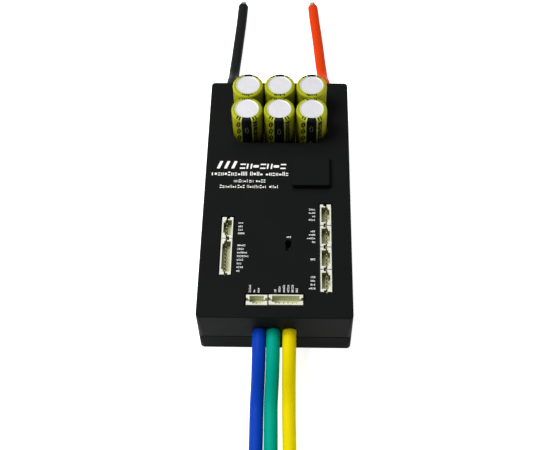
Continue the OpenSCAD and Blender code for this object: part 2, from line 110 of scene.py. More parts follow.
def noise_field(nodes, links, scale, detail=3.0, stretch=(1, 1, 1)):
    """Noise over the object's own coordinates: scale is in cells per metre."""
    place = nodes.new("ShaderNodeTexCoord")
    mapping = nodes.new("ShaderNodeMapping")
    mapping.inputs["Scale"].default_value = stretch
    field = nodes.new("ShaderNodeTexNoise")
    field.inputs["Scale"].default_value = scale
    field.inputs["Detail"].default_value = detail
    links.new(place.outputs["Object"], mapping.inputs["Vector"])
    links.new(mapping.outputs["Vector"], field.inputs["Vector"])
    return field.outputs["Fac"]


# Most of a noise field's values lie between these two.
NOISE_LOW = 0.3
NOISE_HIGH = 0.7


def spread_value(nodes, links, source, low, high):
    """Maps noise to the range from low to high."""
    ranged = nodes.new("ShaderNodeMapRange")
    ranged.inputs["From Min"].default_value = NOISE_LOW
    ranged.inputs["From Max"].default_value = NOISE_HIGH
    ranged.inputs["To Min"].default_value = low
    ranged.inputs["To Max"].default_value = high
    links.new(source, ranged.inputs["Value"])
    return ranged.outputs["Result"]


def tint(nodes, links, source, dark, light):
    """Mixes two colours by noise."""
    ramp = nodes.new("ShaderNodeValToRGB")
    ramp.color_ramp.elements[0].position = NOISE_LOW
    ramp.color_ramp.elements[0].color = (*dark, 1)
    ramp.color_ramp.elements[1].position = NOISE_HIGH
    ramp.color_ramp.elements[1].color = (*light, 1)
    links.new(source, ramp.inputs["Fac"])
    return ramp.outputs["Color"]


def bump(nodes, links, height, depth):
    """A bump of that depth in metres."""
    node = nodes.new("ShaderNodeBump")
    node.inputs["Strength"].default_value = 1.0
    node.inputs["Distance"].default_value = depth
    links.new(height, node.inputs["Height"])
    return node.outputs["Normal"]


def shade(color, factor):
    """A lighter or darker colour."""
    return tuple(min(1.0, c * factor) for c in color)


def surface(
    name,
    color,
    rough,
    vary,
    metal=0.0,
    specular=0.5,
    grain=3000,
    grain_depth=0.00001,
    stretch=(1, 1, 1),
    coat=0.0,
    blotch=120,
):
    """A plain material with colour and roughness that wander a little, and a fine grain."""
    mat, nodes, links, shader = new_material(name)
    wide = noise_field(nodes, links, blotch)
    fine = noise_field(nodes, links, grain, detail=4.0, stretch=stretch)
    links.new(
        tint(nodes, links, wide, shade(color, 1 - vary), shade(color, 1 + vary)),
        shader.inputs["Base Color"],
    )
    links.new(spread_value(nodes, links, fine, *rough), shader.inputs["Roughness"])
    links.new(bump(nodes, links, fine, grain_depth), shader.inputs["Normal"])
    shader.inputs["Metallic"].default_value = metal
    shader.inputs["Specular IOR Level"].default_value = specular
    shader.inputs["Coat Weight"].default_value = coat
    shader.inputs["Coat Roughness"].default_value = 0.2
    return mat


def paint_shade_by_height(mat, *stops):
    """Paints shade into a material's colour: multiplies it by one that depends on the height; a stop is (z,
    colour).
    """
    nodes, links = mat.node_tree.nodes, mat.node_tree.links
    base = nodes["Principled BSDF"].inputs["Base Color"]
    place = nodes.new("ShaderNodeTexCoord")
    parts = nodes.new("ShaderNodeSeparateXYZ")
    ranged = nodes.new("ShaderNodeMapRange")
    ramp = nodes.new("ShaderNodeValToRGB")
    times = nodes.new("ShaderNodeVectorMath")
    times.operation = "MULTIPLY"
    low, high = stops[0][0], stops[-1][0]
    ranged.inputs["From Min"].default_value = low
    ranged.inputs["From Max"].default_value = high
    for _ in stops[2:]:
        ramp.color_ramp.elements.new(0.5)
    for k, (z, color) in enumerate(stops):
        ramp.color_ramp.elements[k].position = (z - low) / (high - low)
        ramp.color_ramp.elements[k].color = (*color, 1)
    links.new(place.outputs["Object"], parts.inputs["Vector"])
    links.new(parts.outputs["Z"], ranged.inputs["Value"])
    links.new(ranged.outputs["Result"], ramp.inputs["Fac"])
    links.new(base.links[0].from_socket, times.inputs[0])
    links.new(ramp.outputs["Color"], times.inputs[1])
    links.new(times.outputs["Vector"], base)


COVER_BLACK = surface(
    "cover_black", (0.0070, 0.0078, 0.0074), (0.45, 0.56), 0.06, specular=0.025,
    grain=5000, grain_depth=0.000012, blotch=60
)
BASE_BLACK = surface(
    "base_black", (0.0046, 0.0050, 0.0050), (0.45, 0.56), 0.08, specular=0.015,
    grain=7000, grain_depth=0.000012
)
IVORY = surface(
    "ivory_nylon", (0.70, 0.70, 0.60), (0.40, 0.52), 0.04, specular=0.2, grain=4000,
    grain_depth=0.000004
)
# Painted shade: the header's cavity is darker below its rim, its floor less so than its walls.
paint_shade_by_height(
    IVORY,
    (0.0265, (0.80, 0.82, 0.56)),
    (0.0269, (0.29, 0.30, 0.13)),
    (0.0302, (0.38, 0.39, 0.24)),
    (0.0308, (1, 1, 1)),
)
# Painted light: a lighter copy of the ivory for the front headers, whose cavities show more light than the
# others; still olive-tinted lower down.
PAINTED_LIT_IVORY = surface(
    "pale_ivory_nylon", (0.90, 0.90, 0.77), (0.40, 0.52), 0.04, specular=0.2, grain=4000,
    grain_depth=0.000004
)
paint_shade_by_height(
    PAINTED_LIT_IVORY,
    (0.0265, (0.86, 0.87, 0.70)),
    (0.0300, (0.82, 0.84, 0.63)),
    (0.0308, (0.76, 0.76, 0.76)),
)
PIN = surface(
    "gold_pin", (0.62, 0.58, 0.30), (0.3, 0.4), 0.08, metal=0.8, grain=4000, grain_depth=0.000003
)
# Painted shade: the pins darken low down, where they stand deep in a header's cavity.
paint_shade_by_height(PIN, (0.0280, (0.10, 0.10, 0.06)), (0.0293, (0.22, 0.21, 0.12)), (0.0295, (1, 1, 1)))
TINNED = surface(
    "tinned", (0.80, 0.79, 0.76), (0.30, 0.45), 0.15, metal=1.0, grain=2500, grain_depth=0.00003,
    blotch=900
)
CAN = surface(
    "can", (0.635, 0.635, 0.665), (0.50, 0.62), 0.03, metal=0.55, specular=0.3, grain=3000,
    grain_depth=0.000004, stretch=(1, 6, 1)
)
SLEEVE = surface(
    "sleeve", (0.44, 0.47, 0.012), (0.36, 0.46), 0.06, specular=0.05, grain=900,
    grain_depth=0.00001, blotch=300
)
# Painted shade: the sleeve is darker towards its foot, where the cover's opening and the next capacitors
# shade it, lightest just under the top; the flat top has its red and green lowered.
paint_shade_by_height(
    SLEEVE,
    (0.0305, (0.25, 0.24, 0.2)),
    (0.0340, (0.62, 0.60, 0.50)),
    (0.0450, (0.74, 0.72, 0.65)),
    (0.0474, (1, 1, 1)),
    (0.0477, (0.70, 0.70, 1)),
)
STRIPE_INK = surface("stripe_ink", (0.004, 0.004, 0.004), (0.45, 0.55), 0.1, specular=0.10, grain=2000)
MARK_INK = surface("mark_ink", (0.012, 0.014, 0.002), (0.45, 0.55), 0.1, specular=0.10, grain=2000)
FAINT_INK = surface("faint_ink", (0.09, 0.095, 0.045), (0.45, 0.55), 0.1, specular=0.08, grain=2000)
RING_INK = surface("ring_ink", (0.13, 0.14, 0.07), (0.3, 0.4), 0.1, specular=0.2, grain=2000)
# Pale print beside the stripe, also used for the painted highlight round the rim; painted shade darkens it
# towards the sleeve's foot.
PALE_INK_AND_HIGHLIGHT = surface("pale_ink", (0.62, 0.66, 0.26), (0.3, 0.4), 0.05, specular=0.2, grain=2000)
paint_shade_by_height(PALE_INK_AND_HIGHLIGHT, (0.0305, (0.2, 0.2, 0.15)), (0.0430, (0.55, 0.55, 0.45)), (0.0468, (1, 1, 1)))
LEGEND_INK = surface("legend_ink", (0.88, 0.88, 0.86), (0.45, 0.55), 0.05, grain=4000)
BOARD_GREEN = surface("board_green", (0.02, 0.10, 0.045), (0.28, 0.40), 0.15, grain=3000, coat=0.2)
METAL_CORE = surface("metal_core", (0.80, 0.80, 0.77), (0.30, 0.42), 0.05, grain=3000)
PAD_GREY = surface("pad_grey", (0.30, 0.33, 0.36), (0.6, 0.75), 0.08, grain=2500)
CHIP = surface("chip", (0.03, 0.03, 0.032), (0.45, 0.6), 0.15, grain=5000)
SHUNT = surface("shunt", (0.30, 0.28, 0.25), (0.3, 0.45), 0.1, metal=1.0, grain=3000, stretch=(8, 1, 1))
CERAMIC = surface("ceramic", (0.48, 0.33, 0.19), (0.35, 0.5), 0.1, grain=3000)
COPPER = surface("copper", (0.86, 0.48, 0.30), (0.25, 0.42), 0.12, metal=1.0, grain=2000)
SEAL = surface("seal_rubber", (0.03, 0.03, 0.03), (0.6, 0.75), 0.1, grain=2500)
WINDING = surface("winding", (0.62, 0.50, 0.32), (0.7, 0.85), 0.1, grain=2000, stretch=(1, 1, 0.1))
BRASS = surface("brass", (0.80, 0.64, 0.32), (0.22, 0.35), 0.08, metal=1.0, grain=2500, stretch=(1, 1, 0.1))
ZINC = surface("screw_steel", (0.66, 0.67, 0.69), (0.28, 0.40), 0.08, metal=1.0, grain=2500)
BLACK_OXIDE = surface("screw_black", (0.03, 0.03, 0.033), (0.30, 0.45), 0.1, metal=0.6, grain=2500)
FERRITE = surface("ferrite", (0.05, 0.052, 0.056), (0.55, 0.7), 0.15, grain=3500, grain_depth=0.00003)
CRYSTAL = surface("crystal_can", (0.72, 0.73, 0.75), (0.22, 0.34), 0.05, metal=1.0, grain=3000)
LENS = surface("light_lens", (0.10, 0.10, 0.09), (0.15, 0.25), 0.05, grain=2000)


def silicone(name, color, gloss):
    """Soft matt silicone insulation with faint flow lines along it and handling marks."""
    return surface(
        name, color, (0.44, 0.56), 0.02, specular=gloss, grain=1600, grain_depth=0.000004,
        stretch=(1, 0.15, 1), blotch=60
    )


# ---------- meshes ----------


def add_piece(name, mesh, mat, smooth=True):
    """Links a mesh as a piece that rides on the only body."""
    obj = bpy.data.objects.new(name, mesh)
    bpy.context.scene.collection.objects.link(obj)
    mesh.materials.append(mat)
    mesh.polygons.foreach_set("use_smooth", [smooth] * len(mesh.polygons))
    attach(obj, "root")
    return obj


def mesh_from(name, verts, faces):
    """A mesh from plain lists."""
    mesh = bpy.data.meshes.new(name)
    mesh.from_pydata([tuple(v) for v in verts], [], faces)
    mesh.update()
    return mesh


def sharpen(obj, degrees):
    """Smooth shading with the edges over that angle kept crisp."""
    mesh = obj.data
    bm = bmesh.new()
    bm.from_mesh(mesh)
    for edge in bm.edges:
        if len(edge.link_faces) == 2:
            edge.smooth = edge.calc_face_angle(0) < math.radians(degrees)
    bm.to_mesh(mesh)
    bm.free()


def loft(rings, closed_ends=True):
    """Joins rings of equal length into quads, and closes both ends with a face."""
    n = len(rings[0])
    verts = [p for ring in rings for p in ring]
    faces = []
    for i in range(len(rings) - 1):
        for k in range(n):
            a, b = i * n + k, i * n + (k + 1) % n
            faces.append((a, b, b + n, a + n))
    if closed_ends:
        faces.append(tuple(range(n - 1, -1, -1)))
        faces.append(tuple(range((len(rings) - 1) * n, len(rings) * n)))
    return verts, faces


# ---------- leads ----------

ROUTES = {
    "phase_a": [
        (-0.0072, -0.066, 0.0172), (-0.0072, -0.070, 0.0172), (-0.0072, -0.074, 0.0171),
        (-0.0072, -0.078, 0.0165), (-0.0072, -0.082, 0.0152), (-0.0073, -0.086, 0.0131),
        (-0.0074, -0.090, 0.0103), (-0.0076, -0.094, 0.0074), (-0.0078, -0.098, 0.0053),
        (-0.0079, -0.102, 0.0040), (-0.0079, -0.108, 0.0034), (-0.0078, -0.118, 0.0033),
        (-0.0079, -0.134, 0.0033), (-0.0083, -0.150, 0.0033), (-0.0089, -0.166, 0.0033),
    ],
    "phase_b": [
        (-0.0007, -0.066, 0.0172), (-0.0007, -0.070, 0.0172), (-0.0007, -0.074, 0.0171),
        (-0.0007, -0.078, 0.0165), (-0.0007, -0.082, 0.0152), (-0.0008, -0.086, 0.0131),
        (-0.0009, -0.090, 0.0103), (-0.0011, -0.094, 0.0074), (-0.0013, -0.098, 0.0053),
        (-0.0014, -0.102, 0.0040), (-0.0013, -0.108, 0.0034), (-0.0011, -0.118, 0.0033),
        (-0.0009, -0.134, 0.0033), (-0.0006, -0.150, 0.0033), (-0.0005, -0.167, 0.0033),
    ],
    "phase_c": [
        (0.0068, -0.066, 0.0172), (0.0068, -0.070, 0.0172), (0.0068, -0.074, 0.0171),
        (0.0068, -0.078, 0.0165), (0.0068, -0.082, 0.0152), (0.0068, -0.086, 0.0131),
        (0.0068, -0.090, 0.0103), (0.0068, -0.094, 0.0074), (0.0069, -0.098, 0.0053),
        (0.0069, -0.102, 0.0040), (0.0070, -0.108, 0.0034), (0.0073, -0.118, 0.0033),
        (0.0077, -0.134, 0.0033), (0.0084, -0.150, 0.0033), (0.0092, -0.166, 0.0033),
    ],
    "battery_minus": [
        (-0.0258, 0.066, 0.0172), (-0.0259, 0.070, 0.0172), (-0.0261, 0.074, 0.0171),
        (-0.0263, 0.078, 0.0165), (-0.0265, 0.082, 0.0150), (-0.0267, 0.086, 0.0126),
        (-0.0268, 0.090, 0.0093), (-0.0268, 0.094, 0.0063), (-0.0267, 0.098, 0.0044),
        (-0.0266, 0.102, 0.0035), (-0.0263, 0.107, 0.0031), (-0.0256, 0.117, 0.0030),
        (-0.0249, 0.128, 0.0030), (-0.0241, 0.141, 0.0030), (-0.0235, 0.1546, 0.0030),
    ],
    "battery_plus": [
        (0.0258, 0.066, 0.0172), (0.0256, 0.070, 0.0172), (0.0253, 0.074, 0.0171),
        (0.0250, 0.078, 0.0165), (0.0247, 0.082, 0.0150), (0.0244, 0.086, 0.0126),
        (0.0241, 0.090, 0.0093), (0.0239, 0.094, 0.0063), (0.0236, 0.098, 0.0044),
        (0.0233, 0.102, 0.0035), (0.0228, 0.107, 0.0031), (0.0219, 0.117, 0.0030),
        (0.0209, 0.128, 0.0030), (0.0195, 0.141, 0.0030), (0.0183, 0.154, 0.0030),
    ],
}
PHASE_D = 0.0064
BATTERY_D = 0.0058
LEADS = {
    "phase_a": (PHASE_D, "silicone_blue", (0.002, 0.046, 0.41), 0.05),
    "phase_b": (PHASE_D, "silicone_green", (0.0, 0.34, 0.24), 0.03),
    "phase_c": (PHASE_D, "silicone_yellow", (0.78, 0.63, 0.0), 0.03),
    "battery_minus": (BATTERY_D, "silicone_black", (0.0125, 0.0145, 0.0140), 0.02),
    "battery_plus": (BATTERY_D, "silicone_red", (0.67, 0.044, 0.005), 0.02),
}
SIDES = 40
LIP = 0.35 * MM

# A bare end is a bundle of strands that wind round it. Depths and the tip are shares of its radius.
STRANDS = 18
STRAND_DEPTH = 0.035
BUNDLE_DEPTH = 0.012
BUNDLE_TURN = 1.5
BUNDLE_SIDES = 72
BUNDLE_SHARE = 0.97
TIP_FROM = 0.8
TIP_DRAW = 0.22
# How much thinner than the CAD's end, how far inside the insulation and how far short of the end.
BUNDLE_THINNER = 0.05 * MM
BUNDLE_INSIDE = 0.6 * MM
BUNDLE_SHORT = 0.25 * MM


def smooth_route(points, steps=6):
    """A Catmull-Rom line through the points, with that many steps between two of them."""
    p = [Vector(x) for x in points]
    p = [2 * p[0] - p[1], *p, 2 * p[-1] - p[-2]]
    line = []
    for i in range(1, len(p) - 2):
        a, b, c, d = p[i - 1 : i + 3]
        for k in range(steps):
            t = k / steps
            square = (2 * a - 5 * b + 4 * c - d) * t * t
            cube = (3 * b - a - 3 * c + d) * t**3
            line.append(0.5 * (2 * b + (c - a) * t + square + cube))
    line.append(p[-2])
    return line


def frames_along(line):
    """(point, side, up, way) at each point of a line that runs mostly level."""
    out = []
    for i, p in enumerate(line):
        way = (line[min(i + 1, len(line) - 1)] - line[max(i - 1, 0)]).normalized()
        side = way.cross(Vector((0, 0, 1))).normalized()
        out.append((p, side, side.cross(way), way))
    return out


def circle(place, r, sides=SIDES, push=0.0, wave=None):
    """A ring of points round a frame, pushed along its way; wave changes the radius by angle."""
    p, side, up, way = place
    ring = []
    for k in range(sides):
        a = 2 * math.pi * k / sides
        rr = r if wave is None else r * (1 + wave(a))
        ring.append(p + way * push + rr * (math.cos(a) * side + math.sin(a) * up))
    return ring


def lead(name):
    """One insulated lead along its route, with a cut lip at the far end, and its tinned end."""
    d, slot_name, color, gloss = LEADS[name]
    r = d / 2
    line = smooth_route(ROUTES[name])
    places = frames_along(line)
    rings = [circle(place, r) for place in places[:-1]]
    last = places[-1]
    rounded = ((-LIP, r), (-0.4 * LIP, r - 0.1 * LIP), (0, r - 0.6 * LIP))
    down_to_the_core = ((0, 0.74 * r), (-MM, 0.70 * r))
    for push, rr in rounded + down_to_the_core:
        rings.append(circle(last, rr, push=push))
    mat = silicone(slot_name, color, gloss)
    piece = add_piece(name + "_insulation", mesh_from(name, *loft(rings)), mat)
    sharpen(piece, 50)
    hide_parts(name + "_lead")
    end = tinned_end(name, last)
    path = [tuple(p) for p in line]
    return piece, end, path


def tinned_end(name, place):
    """The bare end: a soldered bundle whose strands wind round it and draw in at the tip."""
    node = name + "_end"
    low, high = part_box(node)
    long = abs(high.y - low.y)
    r = (high.z - low.z) / 2 - BUNDLE_THINNER
    rings = []
    steps = 14
    for i in range(steps + 1):
        t = i / steps
        tip = max(0, (t - TIP_FROM) / (1 - TIP_FROM))
        twist = BUNDLE_TURN * t

        def strands(a, twist=twist):
            return STRAND_DEPTH * math.cos(STRANDS * (a + twist)) + BUNDLE_DEPTH * math.cos(5 * a - twist)

        push = (long - BUNDLE_SHORT) * t - BUNDLE_INSIDE * (1 - t)
        rr = r * (BUNDLE_SHARE - TIP_DRAW * tip**2)
        rings.append(circle(place, rr, sides=BUNDLE_SIDES, push=push, wave=strands))
    end = add_piece(name + "_tinned", mesh_from(node, *loft(rings)), TINNED)
    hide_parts(node)
    return end


for lead_name in ROUTES:
    insulation, bare_end, path = lead(lead_name)

# ---------- capacitors ----------

SLEEVE_LOW, SLEEVE_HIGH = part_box("capacitor_sleeve_1")
CAP_R = (SLEEVE_HIGH.x - SLEEVE_LOW.x) / 2
CAP_FOOT = SLEEVE_LOW.z
CAP_TOP = SLEEVE_HIGH.z
# The sleeve's rounded shoulder, and the radius of its cut edge on top of the can.
CAP_EDGE = 1.3 * MM
CAP_RIM = 5.78 * MM
CAN_R = CAP_R - 0.25 * MM
CAN_TOP = CAP_TOP - 0.12 * MM
CAN_DISH = 0.12 * MM
CAN_CURL = 1.0 * MM
SCORE_REACH = 0.86
SCORE_DEPTH = 0.04 * MM
SCORE_WIDTH = 0.3 * MM
# Places on a sleeve are measured up from the start of its shoulder, so those on the wall are negative.
CAP_WALL_Z = CAP_TOP - CAP_EDGE
BEND = CAP_EDGE * math.pi / 2
RIM_END = BEND + CAP_R - CAP_EDGE - CAP_RIM - 0.02 * MM
GROOVE_Z = CAP_FOOT + 4.2 * MM
GROOVE_DEPTH = 0.6 * MM
GROOVE_WIDTH = 0.8 * MM
SWELL = 0.045 * MM
CREASE = 0.09 * MM
CREASE_RUN = 2 * MM
WALL_STEP = 0.6 * MM
SHOULDER_STEP = 0.12 * MM
CUT_WANDER = 0.10 * MM
HALF_WAY = math.pi * CAP_R
TURNS = 180


def sleeve_outline(s):
    """(radius, height) of the sleeve's outside, s metres up from the start of the rounded shoulder."""
    if s <= 0:
        z = CAP_WALL_Z + s
        groove = (z - GROOVE_Z) / GROOVE_WIDTH
        return CAP_R - GROOVE_DEPTH * math.exp(-groove * groove), z
    if s <= BEND:
        a = s / CAP_EDGE
        return CAP_R - CAP_EDGE * (1 - math.cos(a)), CAP_WALL_Z + CAP_EDGE * math.sin(a)
    return CAP_R - CAP_EDGE - (s - BEND), CAP_TOP


def ripple(a, s, seed, around, along):
    """Noise on a sleeve; around and along set how close its waves are."""
    return noise.noise(Vector((around * math.cos(a), around * math.sin(a), seed + s * along)))


def sleeve_point(spot, a, s, lift=0.0):
    """A point on the sleeve of the capacitor at that spot; a is the angle and s as in sleeve_outline."""
    x, y, _, seed = spot
    r, z = sleeve_outline(s)
    r2, z2 = sleeve_outline(s + 0.02 * MM)
    way = Vector((r2 - r, z2 - z)).normalized()
    near_shoulder = min(1, max(0, s + CREASE_RUN) / CREASE_RUN)
    out = lift + SWELL * ripple(a, s, seed, 7, 150)
    out += CREASE * near_shoulder * ripple(a, s, seed + 7, 13, 120)
    r, z = r + way.y * out, z - way.x * out
    return Vector((x + r * math.cos(a), y + r * math.sin(a), z))


def flat_ring(spot, r, z, wander=0.0):
    """A level ring round a capacitor's axis; wander lets its radius drift."""
    x, y, _, seed = spot
    ring = []
    for k in range(TURNS):
        a = 2 * math.pi * k / TURNS
        rr = r + wander * ripple(a, 0, seed + 40, 3, 0)
        ring.append(Vector((x + rr * math.cos(a), y + rr * math.sin(a), z)))
    return ring


def climb(low, high):
    """Places from low to high, well apart on the wall and close together over the shoulder."""
    out = [low]
    while out[-1] < high:
        step = WALL_STEP if out[-1] < -WALL_STEP else SHOULDER_STEP
        out.append(min(high, out[-1] + step))
    return out


def sleeve(i, spot):
    """The shrunk sleeve: thin, creased over the shoulder, with its cut edge resting on the can."""
    foot = CAP_FOOT - CAP_WALL_Z
    rings = [
        flat_ring(spot, CAP_R - 1.4 * MM, CAP_FOOT + 0.1 * MM),
        flat_ring(spot, CAP_R - 0.2 * MM, CAP_FOOT),
    ]
    for s in climb(foot + 0.2 * MM, RIM_END):
        rings.append([sleeve_point(spot, 2 * math.pi * k / TURNS, s) for k in range(TURNS)])
    for drop in (0.02, 0.07, 0.12):
        rings.append(flat_ring(spot, CAP_RIM, CAP_TOP - drop * MM, CUT_WANDER))
    mesh = mesh_from("sleeve", *loft(rings, closed_ends=False))
    piece = add_piece(f"sleeve_{i}", mesh, SLEEVE)
    sharpen(piece, 55)
    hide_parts(f"capacitor_sleeve_{i}")


def can(i, spot):
    """The can: a round-shouldered wall under the sleeve and a dished top, scored so that it can vent."""
    foot = CAP_FOOT + 0.2 * MM
    floor_r = CAP_RIM - 0.4 * MM
    floor_z = CAN_TOP - CAN_DISH
    rings = [flat_ring(spot, CAN_R - 1.3 * MM, foot), flat_ring(spot, CAN_R, foot)]
    for step in range(7):
        a = math.radians(15 * step)
        r = CAN_R - CAN_CURL + CAN_CURL * math.cos(a)
        z = CAN_TOP - CAN_CURL + CAN_CURL * math.sin(a)
        rings.append(flat_ring(spot, r, z))
    rings.append(flat_ring(spot, floor_r + 0.3 * MM, CAN_TOP))
    rings.append(flat_ring(spot, floor_r + 0.15 * MM, CAN_TOP - 0.4 * CAN_DISH))
    scores = [0.4 + 0.9 * i + math.radians(120 * k) for k in range(3)]
    steps = 30
    for step in range(steps):
        r = floor_r * (1 - step / steps)
        flat = flat_ring(spot, r, floor_z)
        for k, point in enumerate(flat):
            a = 2 * math.pi * k / TURNS
            near = [abs(r * math.sin(a - score)) for score in scores if math.cos(a - score) > 0]
            if near and r < SCORE_REACH * floor_r:
                point.z -= SCORE_DEPTH * math.exp(-((min(near) / SCORE_WIDTH) ** 2))
        rings.append(flat)
    piece = add_piece(f"can_{i}", mesh_from("can", *loft(rings)), CAN)
    sharpen(piece, 40)
    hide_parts(f"capacitor_can_{i}")


# Prints on a sleeve: where they end near its foot, their thickness and their lift off the sleeve.
PRINT_FOOT = CAP_FOOT + 6.2 * MM - CAP_WALL_Z
PRINT_T = 0.02 * MM
PRINT_LIFT = 0.02 * MM
OVERPRINT_LIFT = 0.04 * MM
FAINT_LIFT = 0.045 * MM
STRIPE_WIDTH = 5.0 * MM
MINUS_STEP = 12.2 * MM
TICK_WIDTH = 0.75 * MM
# The pale print lines beside the stripe, and a painted highlight round the rim from that far beside the
# stripe's middle.
EDGE_PLACE = 2.85 * MM
EDGE_WIDTH = 0.40 * MM
RIM_HIGHLIGHT_START = 2.7 * MM
RIM_HIGHLIGHT_TALL = 0.3 * MM
# The columns on both sides of the stripe; the left one has tall ovals that far apart, in mm.
LEFT_COLUMN = -4.45 * MM
RIGHT_COLUMN = 4.55 * MM
OVAL_STEP = 5.2
# The columns on the side away from the stripe.
BACK_COLUMNS = 6
BACK_PITCH = 1.7 * MM


def wrapped(spot, grids, lift):
    """Thin prints on a sleeve; a grid holds (across, up) in metres, across counted from the stripe."""
    verts, faces = [], []
    middle = math.pi / 2 * spot[2]
    for grid in grids:
        rows, cols, base = len(grid), len(grid[0]), len(verts)
        for layer in (lift, lift + PRINT_T):
            for row in grid:
                for across, up in row:
                    verts.append(sleeve_point(spot, middle + across / CAP_R, up, layer))
        rim = (
            [(0, k) for k in range(cols)]
            + [(i, cols - 1) for i in range(1, rows)]
            + [(rows - 1, k) for k in range(cols - 2, -1, -1)]
            + [(i, 0) for i in range(rows - 2, 0, -1)]
        )
        top = base + rows * cols
        for i in range(rows - 1):
            for k in range(cols - 1):
                a = i * cols + k
                quad = (a, a + 1, a + cols + 1, a + cols)
                faces.append(tuple(top + v for v in quad))
                faces.append(tuple(base + v for v in reversed(quad)))
        for (i, k), (m, n) in zip(rim, rim[1:] + rim[:1]):
            a, b = i * cols + k, m * cols + n
            faces.append((base + a, base + b, top + b, top + a))
    return mesh_from("print", verts, faces)


def block(x, wide, s0, s1):
    """A grid that fills a box on the sleeve, centred on x."""
    cols = max(2, math.ceil(wide / (0.5 * MM)) + 1)
    return [[(x + wide * (k / (cols - 1) - 0.5), s) for k in range(cols)] for s in climb(s0, s1)]


def oval(x, s, wide, tall, line, lean=0.0):
    """A band along a tall oval; lean slides its top sideways."""
    grid = []
    steps = 28
    for k in range(steps + 1):
        a = 2 * math.pi * k / steps
        pair = []
        for inset in (0.0, line):
            up = (tall / 2 - inset) * math.sin(a)
            pair.append((x + (wide / 2 - inset) * math.cos(a) + lean * up / tall, s + up))
        grid.append(pair)
    return grid


def column(x, wide, start, stop, talls, gaps, rng):
    """Blocks one under another, with heights and gaps in millimetres drawn from two lists."""
    out = []
    s = start
    while s - max(talls) * MM > stop:
        tall = rng.choice(talls) * MM
        out.append(block(x, wide, s - tall, s))
        s -= tall + rng.choice(gaps) * MM
    return out


def ticks(places, half, foot, rng):
    """Short strokes that fold over the rim down to about foot, on both sides of each place."""
    out = []
    for x in places:
        top = RIM_END - rng.uniform(0.1, 0.5) * MM
        for side in (-1, 1):
            out.append(block(x + side * half, TICK_WIDTH, foot + rng.uniform(0, 0.7) * MM, top))
    return out


def prints(i, spot):
    """The polarity stripe with its minus marks, and columns of generic marks on both sides of it."""
    rng = random.Random(40 + i)
    stripe = [block(0, STRIPE_WIDTH, PRINT_FOOT, RIM_END)]
    add_piece(f"stripe_{i}", wrapped(spot, stripe, PRINT_LIFT), STRIPE_INK)
    start = -rng.uniform(5.0, 9.0) * MM
    minus = [oval(0, start - MINUS_STEP * k, 1.9 * MM, 4.4 * MM, 0.34 * MM) for k in range(2)]
    minus = [grid for grid in minus if min(up for row in grid for _, up in row) > PRINT_FOOT]
    add_piece(f"minus_{i}", wrapped(spot, minus, OVERPRINT_LIFT), RING_INK)
    # Pale print lines beside the stripe, then a painted highlight line round the rim on both sides.
    edges = [block(side * EDGE_PLACE, EDGE_WIDTH, PRINT_FOOT, RIM_END) for side in (-1, 1)]
    rim_highlight_middle, rim_highlight_length = (HALF_WAY + RIM_HIGHLIGHT_START) / 2, HALF_WAY - RIM_HIGHLIGHT_START
    for side in (-1, 1):
        edges.append(block(side * rim_highlight_middle, rim_highlight_length, RIM_END - RIM_HIGHLIGHT_TALL, RIM_END))
    add_piece(f"edges_{i}", wrapped(spot, edges, PRINT_LIFT), PALE_INK_AND_HIGHLIGHT)
    marks = [
        oval(LEFT_COLUMN, (-3.4 - OVAL_STEP * k) * MM, 2.2 * MM, 4.6 * MM, 0.85 * MM, 1.6 * MM)
        for k in range(5)
    ]
    for k in range(4):
        low, high = (-6.3 - OVAL_STEP * k) * MM, (-5.7 - OVAL_STEP * k) * MM
        marks.append(block(LEFT_COLUMN + 0.1 * MM, 0.6 * MM, low, high))
    marks += column(RIGHT_COLUMN, 2.3 * MM, -0.7 * MM, PRINT_FOOT, (1.6, 2.4, 3.4), (0.25, 0.4), rng)
    marks += ticks((-4.6 * MM, 4.6 * MM), 0.75 * MM, 0.1 * MM, rng)
    behind = (HALF_WAY - 2.2 * MM, HALF_WAY + 2.2 * MM, HALF_WAY)
    marks += ticks(behind, 0.55 * MM, 0.55 * BEND, rng)
    for k in range(BACK_COLUMNS):
        stop = PRINT_FOOT + rng.uniform(2, 9) * MM
        x = HALF_WAY + (k - (BACK_COLUMNS - 1) / 2) * BACK_PITCH
        marks += column(x, 1.0 * MM, -(1.6 + k % 2) * MM, stop, (0.8, 1.2, 1.6), (0.35, 0.35, 1.0), rng)
    add_piece(f"marks_{i}", wrapped(spot, marks, PRINT_LIFT), MARK_INK)
    faint = column(RIGHT_COLUMN, 0.9 * MM, -2.6 * MM, PRINT_FOOT, (0.7, 1.0, 1.3), (0.9, 1.6), rng)
    add_piece(f"faint_{i}", wrapped(spot, faint, FAINT_LIFT), FAINT_INK)


def capacitors():
    """Six capacitors; the stripe faces out of the group, so the rear row is turned round."""
    count = 6
    middle_y = sum(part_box(f"capacitor_sleeve_{i}")[0].y + CAP_R for i in (1, count)) / 2
    for i in range(1, count + 1):
        low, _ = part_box(f"capacitor_sleeve_{i}")
        y = low.y + CAP_R
        # The place of the axis, the way the stripe faces along Y, and a seed for the noise.
        spot = (low.x + CAP_R, y, -1 if y < middle_y else 1, 3.1 * i)
        sleeve(i, spot)
        can(i, spot)
        prints(i, spot)


capacitors()

# ---------- legends on the cover ----------

COVER_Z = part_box("pin_header_1")[1].z
INK_T = 0.03 * MM
INK_SINK = 0.01 * MM


def prism(verts, faces, outline):
    """Adds a thin prism over a flat outline of (x, y) points that turns anticlockwise."""
    base, n = len(verts), len(outline)
    for z in (COVER_Z - INK_SINK, COVER_Z + INK_T):
        verts.extend((x * MM, y * MM, z) for x, y in outline)
    faces.append(tuple(base + k for k in range(n - 1, -1, -1)))
    faces.append(tuple(base + n + k for k in range(n)))
    for k in range(n):
        m = (k + 1) % n
        faces.append((base + k, base + m, base + n + m, base + n + k))


